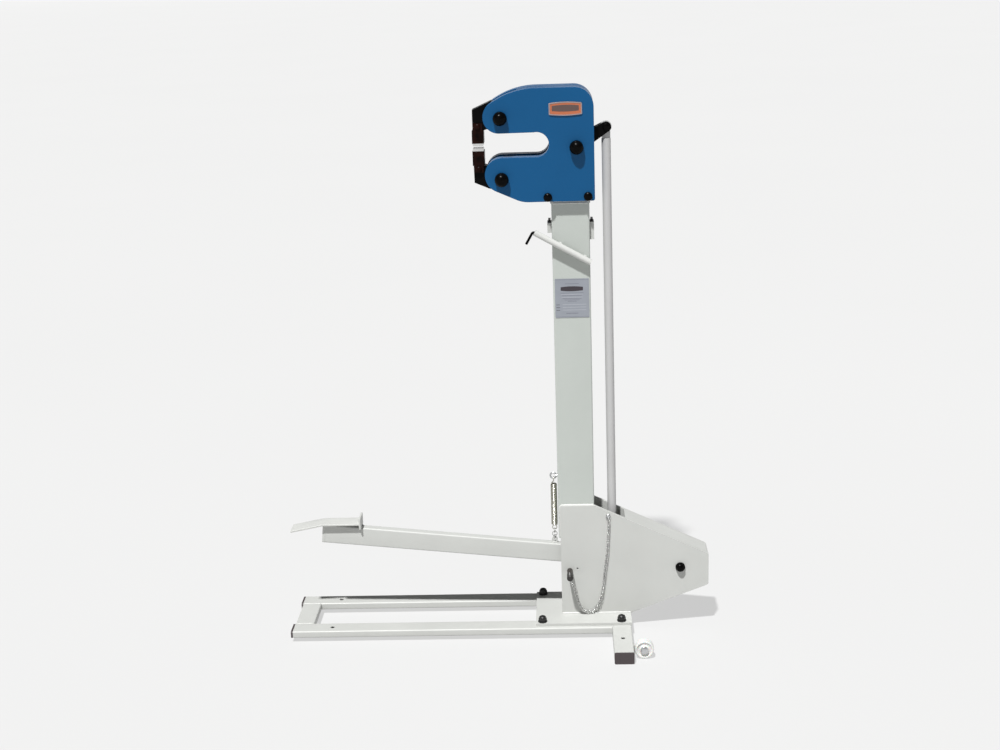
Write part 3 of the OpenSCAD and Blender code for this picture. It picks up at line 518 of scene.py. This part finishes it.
def make_floor():
    """A plain pale studio floor, faintly lit from within, with distant walls of the same colour."""
    mat = new_material("studio_floor", (0.20, 0.20, 0.20), 0.95, specular=0.0)
    shader = principled(mat)
    shader["Emission Color"].default_value = (1.0, 1.0, 0.997, 1)
    shader["Emission Strength"].default_value = FLOOR_GLOW
    mottle = noise(mat, place_of(mat), 0.6, 2.0)
    tone = ramp(mat, mottle, [(0.3, (0.198, 0.198, 0.197)), (0.7, (0.202, 0.202, 0.201))])
    wire(mat, tone, shader["Base Color"])
    bm = bmesh.new()
    signs = ((-1, -1), (1, -1), (1, 1), (-1, 1))
    corners = [bm.verts.new((x * FLOOR_HALF, y * FLOOR_HALF, 0)) for x, y in signs]
    bm.faces.new(corners)
    tops = [bm.verts.new((v.co.x, v.co.y, WALL_HEIGHT)) for v in corners]
    for k in range(4):
        bm.faces.new((corners[k], tops[k], tops[k - 1], corners[k - 1]))
    mesh = bpy.data.meshes.new("studio_floor")
    bm.to_mesh(mesh)
    bm.free()
    mesh.materials.append(mat)
    floor = bpy.data.objects.new("studio_floor", mesh)
    bpy.context.scene.collection.objects.link(floor)


make_camera()
make_light()
make_floor()


# ---------------------------------------------------------------- nodes with rounded edges

# Width of each node's rounded edges, in millimetres
ROUNDED = {
    "rail_near": 0.6, "rail_far": 0.6, "front_crossbar": 0.6, "rear_crossbar": 0.6,
    "tube_end_caps": 0.7, "front_foot_pads": 1.0, "base_plate": 0.8, "base_weld_nuts": 0.4,
    "wheel_brackets": 0.6, "wheel_axles": 0.4, "side_plate_near": 0.8, "side_plate_far": 0.8,
    "housing_cover": 0.7, "column": 0.5, "column_top_plate": 0.7, "pedal_pivot_bolt": 0.5,
    "pedal_pivot_spacers": 0.4, "pedal_pivot_bush": 0.4, "chain_screw": 0.3, "pedal_arm": 0.5,
    "arm_end_cap": 0.6, "rod_lower_pin": 0.4, "pull_rod": 0.5, "rod_upper_eye": 0.7,
    "rod_lower_fork": 0.6, "rod_locknut": 0.4, "rod_upper_pin": 0.3, "key_holder": 0.4,
    "grip_pockets": 0.4, "spare_grip_front": 0.4, "spare_grip_rear": 0.4, "cheek_near": 2.2,
    "cheek_far": 2.2, "head_spine": 0.8, "head_mount_bolts": 0.4, "pivot_bolts": 0.5,
    "upper_jaw_arm": 1.2, "lower_jaw_arm": 1.2, "upper_jaw_block": 0.8, "lower_jaw_block": 0.8,
    "upper_roller": 0.4, "lower_roller": 0.4, "actuating_lever": 1.4, "spring_eye_bolt": 0.2,
    "pedal_tread": 1.0,
}
FINISH = {
    "head_spine": "blue_filler", "upper_jaw_block": "jaw_oxide", "lower_jaw_block": "jaw_oxide",
    "key_holder": "key_tube_paint", "pedal_tread": "tread",
}
for node, width in ROUNDED.items():
    finished_node(node, width, FINISH.get(node))


# ---------------------------------------------------------------- places taken from the frame

col_low, col_high = box_mm("column")
AXIS_X = (col_low.x + col_high.x) / 2


def at(x, y, z):
    """A place in millimetres, with X counted from the column's axis."""
    return mm(AXIS_X + x, y, z)


def middle(node):
    """The middle of a CAD node's box, in metres."""
    low, high = box_m(node)
    return (low + high) / 2


def add_box(bm, low, high):
    """A block between two corners."""
    spans = list(zip(low, high))
    verts = [bm.verts.new((x, y, z)) for z in spans[2] for y in spans[1] for x in spans[0]]
    for ids in ((0, 2, 3, 1), (4, 5, 7, 6), (0, 1, 5, 4), (2, 6, 7, 3), (0, 4, 6, 2), (1, 3, 7, 5)):
        bm.faces.new([verts[i] for i in ids])


def add_torus(bm, centre, axis, major, minor, steps, turns=1, pitch=0.0):
    """A ring, or a split ring of several turns, in metres."""
    axis, side, other = around(axis)
    closed = turns == 1
    count = steps * turns + (0 if closed else 1)
    path = []
    for i in range(count):
        a = 2 * math.pi * i / steps
        path.append(Vector(centre) + (side * math.cos(a) + other * math.sin(a)) * major
                    + axis * pitch * (i / steps - turns / 2))
    add_sweep(bm, path, minor, 8, closed=closed)


# ---------------------------------------------------------------- transport wheels

def make_wheel(node):
    """A moulded nylon wheel: bored hub, shallow dished web, crowned tread with a parting line."""
    half = [(5.1, 8.0), (8.4, 8.0), (9.1, 7.6), (9.6, 6.6), (10.6, 6.2), (13.6, 6.2), (14.6, 6.7),
            (15.2, 7.7), (15.9, 8.0), (17.4, 8.0), (18.3, 7.6), (18.8, 6.8), (18.95, 5.5), (19.0, 0.5),
            (18.85, 0.12)]
    profile = [(r * MM, y * MM) for r, y in half] + [(r * MM, -y * MM) for r, y in reversed(half)]
    bm = bmesh.new()
    add_grid(bm, lathe_rings(profile, middle(node), (0, 1, 0), 96), loop=True)
    mesh = from_bmesh(node, bm)
    wheel = make_object(node + "_moulding", mesh, "wheel_nylon", BODY_OF[node], 50)
    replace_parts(wheel, node)


make_wheel("wheel_near")
make_wheel("wheel_far")


# ---------------------------------------------------------------- lock pin and its chain

pin_high = box_m("lock_pin")[1]
pin_centre = middle("lock_pin")
PIN_KNOB_Y = -52.0


def make_lock_pin():
    """A chamfered steel pin with a ribbed plastic knob."""
    tip = Vector((pin_centre.x, pin_high.y, pin_centre.z))
    shaft_len = pin_high.y / MM - PIN_KNOB_Y
    shaft = [(0.4, 0.0), (4.4, 0.0), (5.0, 0.4), (5.85, 1.3), (5.9, 1.8), (5.9, shaft_len + 1.5)]
    bm = bmesh.new()
    add_lathe(bm, [(r * MM, y * MM) for r, y in shaft], tip, (0, -1, 0), 48)
    mesh = from_bmesh("lock_pin_shaft", bm)
    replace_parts(make_object("lock_pin_shaft", mesh, "pin_steel", "pin"), "lock_pin")
    knob = [(0.5, 0.0), (6.0, 0.0), (6.5, 0.5)]
    for k in range(5):
        y = 1.4 + k * 3.1
        knob += [(6.6, y), (6.6, y + 1.9), (6.2, y + 2.3), (6.2, y + 2.7)]
    knob += [(6.6, 17.2), (6.6, 18.8), (6.3, 19.9), (5.4, 20.9), (3.9, 21.5), (2.0, 21.9), (0.4, 22.0)]
    bm = bmesh.new()
    knob_foot = (tip.x, PIN_KNOB_Y * MM, tip.z)
    add_lathe(bm, [(r * MM, y * MM) for r, y in knob], knob_foot, (0, -1, 0), 48)
    mesh = from_bmesh("lock_pin_knob", bm)
    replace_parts(make_object("lock_pin_knob", mesh, "knob_plastic", "pin", 30), "lock_pin")


make_lock_pin()

# The chain's centre line in millimetres, with X counted from the column's axis: screw first, knob last
CHAIN_ROUTE = [
    (67, -34.4, 242.5), (65.3, -34.5, 209.5), (62.7, -34.5, 169.2), (58.4, -34.5, 134.8),
    (54.2, -34.5, 99.9), (49, -35, 68.1), (40, -36, 48), (27, -37, 38.5), (14, -39.5, 41.5),
    (4, -45, 57), (-2.4, -52, 79.3), (-6.8, -62, 103), (-12, -73.2, 117.6),
]


def add_link(bm, centre, along, face, length, width, wire_r):
    """An oval wire link; along is the chain's direction and face the link's flat side."""
    along = along.normalized()
    across = face.cross(along).normalized()
    straight = (length - width) / 2
    path = []
    for end in (1, -1):
        for i in range(7):
            a = math.pi * i / 6 - math.pi / 2
            path.append(Vector(centre) + along * end * (straight + math.cos(a) * width / 2)
                        + across * end * math.sin(a) * width / 2)
    add_sweep(bm, path, wire_r, 7, closed=True)


def make_pin_chain():
    """A light welded-link chain from the screw on the plate to the knob, links turned by a quarter each."""
    pitch = 5.4 * MM
    path = even_points(bezier_points([at(*p) for p in CHAIN_ROUTE], 24), pitch)
    bm = bmesh.new()
    for i, point in enumerate(path):
        along = (path[min(i + 1, len(path) - 1)] - path[max(i - 1, 0)]).normalized()
        flat = along.cross(Vector((0, 1, 0))).normalized()
        upright = flat.cross(along).normalized()
        turn = math.radians(45 if i % 2 else -45)
        face = flat * math.sin(turn) + upright * math.cos(turn)
        add_link(bm, point, along, face, 7.6 * MM, 5.6 * MM, 0.8 * MM)
    knob_eye = Vector((pin_centre.x + 1.6 * MM, path[-1].y + 1.2 * MM, path[-1].z + 2.6 * MM))
    add_torus(bm, knob_eye, (0.8, 0.5, 0), 2.9 * MM, 0.5 * MM, 28)
    screw_eye = at(66, -33.4, 247.2)
    add_torus(bm, screw_eye, (0, 1, 0.15), 4.9 * MM, 0.55 * MM, 36)
    mesh = from_bmesh("pin_chain_links", bm)
    chain = make_object("pin_chain_links", mesh, "chain_zinc", None, 60)
    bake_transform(chain)
    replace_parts(chain, "pin_chain")


make_pin_chain()


# ---------------------------------------------------------------- return spring, its hooks and rings

spring_axis = middle("return_spring")
spring_low, spring_high = box_m("return_spring")


def coil_path(centre, radius, pitch, low, high, steps):
    """A helix about a vertical axis, in metres."""
    turns = (high - low) / pitch
    count = int(turns * steps)
    path = []
    for i in range(count + 1):
        a = 2 * math.pi * i / steps
        x, y = centre.x + radius * math.cos(a), centre.y + radius * math.sin(a)
        path.append(Vector((x, y, low + pitch * i / steps)))
    return path


def hook(coil_end, before, centre, loop_z, up, plane, radius):
    """The full loop at a coil's end: out of the last turn to the axis, then round in one upright plane."""
    out = []
    across = Vector((0, 1, 0)) if plane == "y" else Vector((1, 0, 0))
    sign = 1 if (coil_end - centre).dot(across) > 0 else -1
    for i in range(26):
        a = math.radians(-60 + i * 330 / 25)
        point = Vector((centre.x, centre.y, loop_z)) + across * sign * radius * math.cos(a)
        point.z += up * radius * math.sin(a)
        out.append(point)
    lead = coil_end + (coil_end - before) * 0.5
    return bezier_points([before, coil_end, lead, *out], 2)[2:]


UPPER_HOOK_Z = 322.2
LOWER_HOOK_Z = 214.9
HOOK_R = 4.6


def make_return_spring():
    """Close coils with a full loop at each end: the top one on the eye bolt, the low one on the rings."""
    low, high = spring_low.z + 7.6 * MM, spring_high.z - 7.4 * MM
    path = coil_path(spring_axis, 5.85 * MM, 1.9 * MM, low, high, 22)
    upper = hook(path[-1], path[-2], spring_axis, UPPER_HOOK_Z * MM, 1, "y", HOOK_R * MM)
    lower = hook(path[0], path[1], spring_axis, LOWER_HOOK_Z * MM, -1, "x", HOOK_R * MM)
    bm = bmesh.new()
    add_sweep(bm, list(reversed(lower)) + path + upper, 0.92 * MM, 9)
    mesh = from_bmesh("return_spring_coils", bm)
    spring = make_object("return_spring_coils", mesh, "spring_steel", None, 60)
    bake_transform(spring)
    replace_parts(spring, "return_spring")


def make_spring_rings():
    """Three split rings between the spring's lower hook and the lug."""
    bm = bmesh.new()
    first = box_m("spring_chain")[0].z + 6.2 * MM
    for i in range(3):
        axis = (1, 0, 0) if i % 2 == 0 else (0, 1, 0)
        centre = (spring_axis.x, 0, first + i * 7.2 * MM)
        add_torus(bm, centre, axis, 4.95 * MM, 0.62 * MM, 36, turns=2, pitch=1.2 * MM)
    mesh = from_bmesh("spring_split_rings", bm)
    rings = make_object("spring_split_rings", mesh, "chain_zinc", BODY_OF["spring_chain"], 60)
    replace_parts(rings, "spring_chain")


make_return_spring()
make_spring_rings()


def make_jaw_spring():
    """The coil spring that keeps the jaw arms on the cam, in an upper and a lower half."""
    low, high = box_m("jaw_arm_spring")
    centre = middle("jaw_arm_spring")
    for side, z0, z1 in (("upper", centre.z, high.z), ("lower", low.z, centre.z)):
        path = coil_path(centre, 3.9 * MM, 2.6 * MM, z0 + 0.8 * MM, z1 - 0.8 * MM, 18)
        bm = bmesh.new()
        add_sweep(bm, path, 0.6 * MM, 7)
        name = f"jaw_spring_{side}"
        half = make_object(name, from_bmesh(name, bm), "spring_steel", None, 60)
        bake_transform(half)
        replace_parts(half, "jaw_arm_spring")


make_jaw_spring()


# ---------------------------------------------------------------- hexagon key

KEY_SLOPE = 29.617
KEY_MOUTH = (-71.8, -36, 850)


def make_hex_key():
    """Six-sided bar with a real bend, its long leg in the holder."""
    slope = math.radians(KEY_SLOPE)
    mouth = at(*KEY_MOUTH)
    along = Vector((-math.cos(slope), 0, math.sin(slope)))
    across = Vector((math.sin(slope), 0, math.cos(slope)))
    leg, bend, inner, short_leg = 3.3, 4.2, -96.0, 28.2

    def key_point(out, down):
        return mouth + along * out * MM - across * down * MM

    path = [key_point(inner, 0), key_point(leg - bend, 0)]
    for i in range(1, 9):
        a = math.radians(90 * i / 9)
        path.append(key_point(leg - bend + bend * math.sin(a), bend * (1 - math.cos(a))))
    path += [key_point(leg, bend), key_point(leg, short_leg - 0.5), key_point(leg, short_leg)]
    radii = [2.85 * MM] * (len(path) - 1) + [2.3 * MM]
    bm = bmesh.new()
    add_sweep(bm, path, radii, 6, phase=math.radians(30))
    mesh = from_bmesh("hex_key_bar", bm)
    key = make_object("hex_key_bar", mesh, "black_oxide", "key", 28)
    bevel = key.modifiers.new("rounded_edges", "BEVEL")
    bevel.width = 0.25 * MM
    bevel.segments = 2
    bevel.limit_method = "ANGLE"
    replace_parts(key, "hex_key")


make_hex_key()


# ---------------------------------------------------------------- jaw grips

def make_grip(node):
    """Tool-steel plate with cross serrations on its working face and a tongue behind."""
    low, high = box_m(node)
    upper = node.startswith("upper")
    back = -1 if upper else 1
    face = low.z if upper else high.z
    plate = 4.95 * MM
    teeth = 14
    pitch = (high.x - low.x) / teeth
    depth = 0.55 * MM
    outline = [(low.x, face - back * plate), (low.x, face)]
    for i in range(teeth):
        x = low.x + i * pitch
        root = face - back * depth
        outline += [(x + 0.35 * pitch, face), (x + 0.62 * pitch, root), (x + 0.9 * pitch, face)]
    outline += [(high.x, face), (high.x, face - back * plate)]
    bm = bmesh.new()
    rows = [[bm.verts.new((x, y, z)) for x, z in outline] for y in (low.y, high.y)]
    count = len(outline)
    for i in range(count):
        j = (i + 1) % count
        bm.faces.new((rows[0][i], rows[0][j], rows[1][j], rows[1][i]))
    bm.faces.new(reversed(rows[0]))
    bm.faces.new(rows[1])
    mid_x = (low.x + high.x) / 2
    inset = 4 * MM
    y0, y1 = (low.y + inset, high.y) if node.endswith("near") else (low.y, high.y - inset)
    z0, z1 = sorted((face - back * (plate - 0.1 * MM), high.z if upper else low.z))
    add_box(bm, (mid_x - 3.3 * MM, y0, z0), (mid_x + 3.3 * MM, y1, z1))
    mesh = from_bmesh(node, bm)
    grip = make_object(node + "_serrated", mesh, "ground_steel", BODY_OF[node], 25)
    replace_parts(grip, node)


for jaw in ("upper", "lower"):
    for side in ("near", "far"):
        make_grip(f"{jaw}_grip_{side}")


# ---------------------------------------------------------------- label on the column and badge on the head

def rounded_outline(x0, x1, z0, z1, radius, bow=0.0, steps=6, edge_steps=10):
    """Outline of a plate in X and Z with round corners; bow raises the middles of its long edges."""
    mid, half = (x0 + x1) / 2, (x1 - x0) / 2

    def bowed(x, z):
        lift = bow * (1 - ((x - mid) / half) ** 2)
        return (x, z + (lift - bow) * (1 if z > (z0 + z1) / 2 else -1))

    points = []
    corners = ((x1 - radius, z0 + radius, -90), (x1 - radius, z1 - radius, 0),
               (x0 + radius, z1 - radius, 90), (x0 + radius, z0 + radius, 180))
    for k, (cx, cz, start) in enumerate(corners):
        for i in range(steps + 1):
            a = math.radians(start + 90 * i / steps)
            points.append(bowed(cx + radius * math.cos(a), cz + radius * math.sin(a)))
        if k in (1, 3):
            sign = -1 if k == 1 else 1
            for i in range(1, edge_steps):
                x = mid - sign * (half - radius) * (1 - 2 * i / edge_steps)
                points.append(bowed(x, z1 if k == 1 else z0))
    return points


def add_plate(bm, outline, y_back, y_front):
    """A plate between two Y planes, from an outline in X and Z (all in metres)."""
    back = [bm.verts.new((x, y_back, z)) for x, z in outline]
    front = [bm.verts.new((x, y_front, z)) for x, z in outline]
    for i in range(len(outline)):
        j = (i + 1) % len(outline)
        bm.faces.new((back[i], back[j], front[j], front[i]))
    bm.faces.new(front)
    bm.faces.new(reversed(back))


def scaled(outline):
    """An outline given in millimetres, in metres."""
    return [(x * MM, z * MM) for x, z in outline]


def scale_about(outline, factor):
    """An outline scaled about its middle."""
    cx = sum(x for x, z in outline) / len(outline)
    cz = sum(z for x, z in outline) / len(outline)
    return [(cx + (x - cx) * factor, cz + (z - cz) * factor) for x, z in outline]


# Centred bars on the label: width, drop of the upper edge below the label's top, and tone
LABEL_BARS = (
    (28, 9.8, "label_mid"), (46, 28.6, "label_mid"), (44, 31.4, "label_pale"), (40, 34.0, "label_mid"),
    (42, 37.4, "label_pale"), (38, 40.0, "label_mid"), (30, 42.8, "label_mid"), (18, 45.6, "label_mid"),
)
LABEL_ROWS = (52.6, 58.2, 63.8)


def make_label():
    """A pale film with plain bars of ink, no lettering."""
    low, high = box_mm("data_plate")
    x0, x1, z0, z1, face = low.x, high.x, low.z, high.z, low.y
    mid = (x0 + x1) / 2
    film = (scaled(rounded_outline(x0, x1, z0, z1, 1.5)), high.y, face)
    groups = {"label_film": [film], "label_dark": [], "label_mid": [], "label_pale": []}

    def ink(tone, left, right, bottom, top, radius, proud, bow=0.0):
        outline = rounded_outline(left, right, bottom, top, radius, bow=bow)
        groups[tone].append((scaled(outline), face, face - proud))

    ink("label_dark", mid - 22.5, mid + 22, z1 - 25.5, z1 - 15.5, 1.2, 0.06, bow=1.4)
    ink("label_mid", x0 + 1.2, x1 - 1.2, z1 - 2.1, z1 - 1.5, 0.2, 0.04)
    for width, drop, tone in LABEL_BARS:
        ink(tone, mid - width / 2, mid + width / 2, z1 - drop - 1.0, z1 - drop, 0.3, 0.04)
    for drop in LABEL_ROWS:
        ink("label_dark", x0 + 2.2, x0 + 9.6, z1 - drop - 0.9, z1 - drop, 0.3, 0.05)
        ink("label_pale", x0 + 15, x1 - 6, z1 - drop - 0.7, z1 - drop + 0.5, 0.3, 0.03)
    ink("label_mid", mid - 12, mid + 12, z1 - 71.4, z1 - 69.9, 0.4, 0.04)
    ink("label_mid", x0 + 1.2, x1 - 1.2, z0 + 1.6, z0 + 2.2, 0.2, 0.04)
    for tone, plates in groups.items():
        bm = bmesh.new()
        for outline, back, front in plates:
            add_plate(bm, outline, back * MM, front * MM)
        piece = make_object(f"column_{tone}", from_bmesh(tone, bm), tone, "stand", 40)
        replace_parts(piece, "data_plate")


def make_badge():
    """A blank enamelled plate: bright rim, copper field, dark panel."""
    low, high = box_mm("badge")
    x0, x1, z0, z1, face = low.x, high.x, low.z, high.z, low.y
    outer = rounded_outline(x0, x1, z0, z1, 1.8, bow=2.3)
    inner = rounded_outline(x0 + 2.2, x1 - 2.2, z0 + 2.2, z1 - 2.2, 1.2, bow=2.2)
    panel = rounded_outline(x0 + 6, x1 - 6, z0 + 8, z1 - 6, 1.0, bow=1.6)
    steps = ((outer, high.y), (outer, face + 0.35), (scale_about(outer, 0.985), face),
             (inner, face), (inner, face + 0.8))
    bm = bmesh.new()
    add_grid(bm, [[mm(x, y, z) for x, z in outline] for outline, y in steps], closed_ends=(True, False))
    mesh = from_bmesh("badge_rim", bm)
    pieces = [make_object("badge_rim", mesh, "badge_metal", "stand", 40)]
    for name, material, outline, back, front in (("badge_field", "badge_copper", inner, 1.2, 0.55),
                                                 ("badge_panel", "badge_dark", panel, 0.7, 0.4)):
        bm = bmesh.new()
        add_plate(bm, scaled(outline), (face + back) * MM, (face + front) * MM)
        pieces.append(make_object(name, from_bmesh(name, bm), material, "stand", 40))
    for piece in pieces:
        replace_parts(piece, "badge")


make_label()
make_badge()


# ---------------------------------------------------------------- painted weld beads

def add_bead(bm, a, b, radius):
    """A fillet weld under paint: a soft rope whose ripples follow the torch."""
    count = max(4, int((b - a).length / (1.1 * MM)))
    radii = []
    for i in range(count + 1):
        ripple = 1 + 0.10 * math.sin(i * 2.1) + 0.05 * math.sin(i * 0.73 + 1.0)
        ends = min(1.0, 0.45 + 0.3 * min(i, count - i))
        radii.append(radius * MM * ripple * ends)
    add_sweep(bm, [a + (b - a) * (i / count) for i in range(count + 1)], radii, 10)


def make_beads(name, body, seams):
    """One piece for all the seams on a body; a seam is its two ends and a radius in millimetres."""
    bm = bmesh.new()
    for a, b, radius in seams:
        add_bead(bm, a, b, radius)
    make_object(name, from_bmesh(name, bm), "weld_paint", body, 70)


plate_low, plate_high = box_mm("side_plate_near")
bar_low, bar_high = box_mm("front_crossbar")
base_seam_z = box_mm("base_plate")[1].z + 0.4
rail_seam_z = box_mm("rail_near")[1].z - 0.4
rear_bar_x = box_mm("rear_crossbar")[0].x
stand_seams = []
for side in (-1, 1):
    face_y = side * 25.6
    foot_y = side * 31.4
    edge_x = plate_low.x - 0.4
    cap_x = AXIS_X + 37.8 * side
    stand_seams += [
        (mm(plate_low.x + 1, face_y, plate_high.z - 0.2), mm(col_high.x, face_y, plate_high.z - 0.2), 2.4),
        (mm(edge_x, face_y, col_low.z + 1), mm(edge_x, face_y, plate_high.z - 1), 1.9),
        (mm(plate_low.x, foot_y, base_seam_z), mm(AXIS_X + 112, foot_y, base_seam_z), 2.6),
        (mm(bar_low.x + 1, side * 50, rail_seam_z), mm(bar_high.x - 1, side * 50, rail_seam_z), 1.3),
        (mm(rear_bar_x, side * 51, rail_seam_z), mm(rear_bar_x, side * 89, rail_seam_z), 1.3),
        (mm(col_low.x + 2, side * 25.3, col_high.z), mm(col_high.x - 2, side * 25.3, col_high.z), 1.5),
        (mm(cap_x, -23, col_high.z), mm(cap_x, 23, col_high.z), 1.5),
    ]
# A ring of weld where each post of the key's holder meets the column
POST_SEAMS = ((-22.3, 823.6), (26.4, 795.9))
RING_STEPS = 16
for x, z in POST_SEAMS:
    ring = [at(x, -25.3, z) + mm(math.cos(a), 0, math.sin(a)) * 4.2
            for a in (2 * math.pi * i / RING_STEPS for i in range(RING_STEPS + 1))]
    stand_seams += [(p0, p1, 1.0) for p0, p1 in zip(ring, ring[1:])]
make_beads("stand_weld_beads", "stand", stand_seams)

# Behind and before the tread's upright, along the arm's front edge, and at both sides of the spring's lug
arm_front = box_mm("pedal_arm")[0].x
tread_rear = box_mm("pedal_tread")[1].x
make_beads("pedal_weld_beads", "pedal", [
    (mm(tread_rear - 4.2, -9.5, 225.0), mm(tread_rear - 4.2, 9.5, 225.0), 1.6),
    (mm(tread_rear + 0.3, -9.5, 224.2), mm(tread_rear + 0.3, 9.5, 224.2), 1.6),
    (mm(arm_front - 4.8, -9.8, 232.3), mm(arm_front + 10, -9.8, 231.2), 1.0),
    (at(-52, -2.4, 182.3), at(-40, -2.4, 181.1), 1.0),
    (at(-52, 2.4, 182.3), at(-40, 2.4, 181.1), 1.0),
])
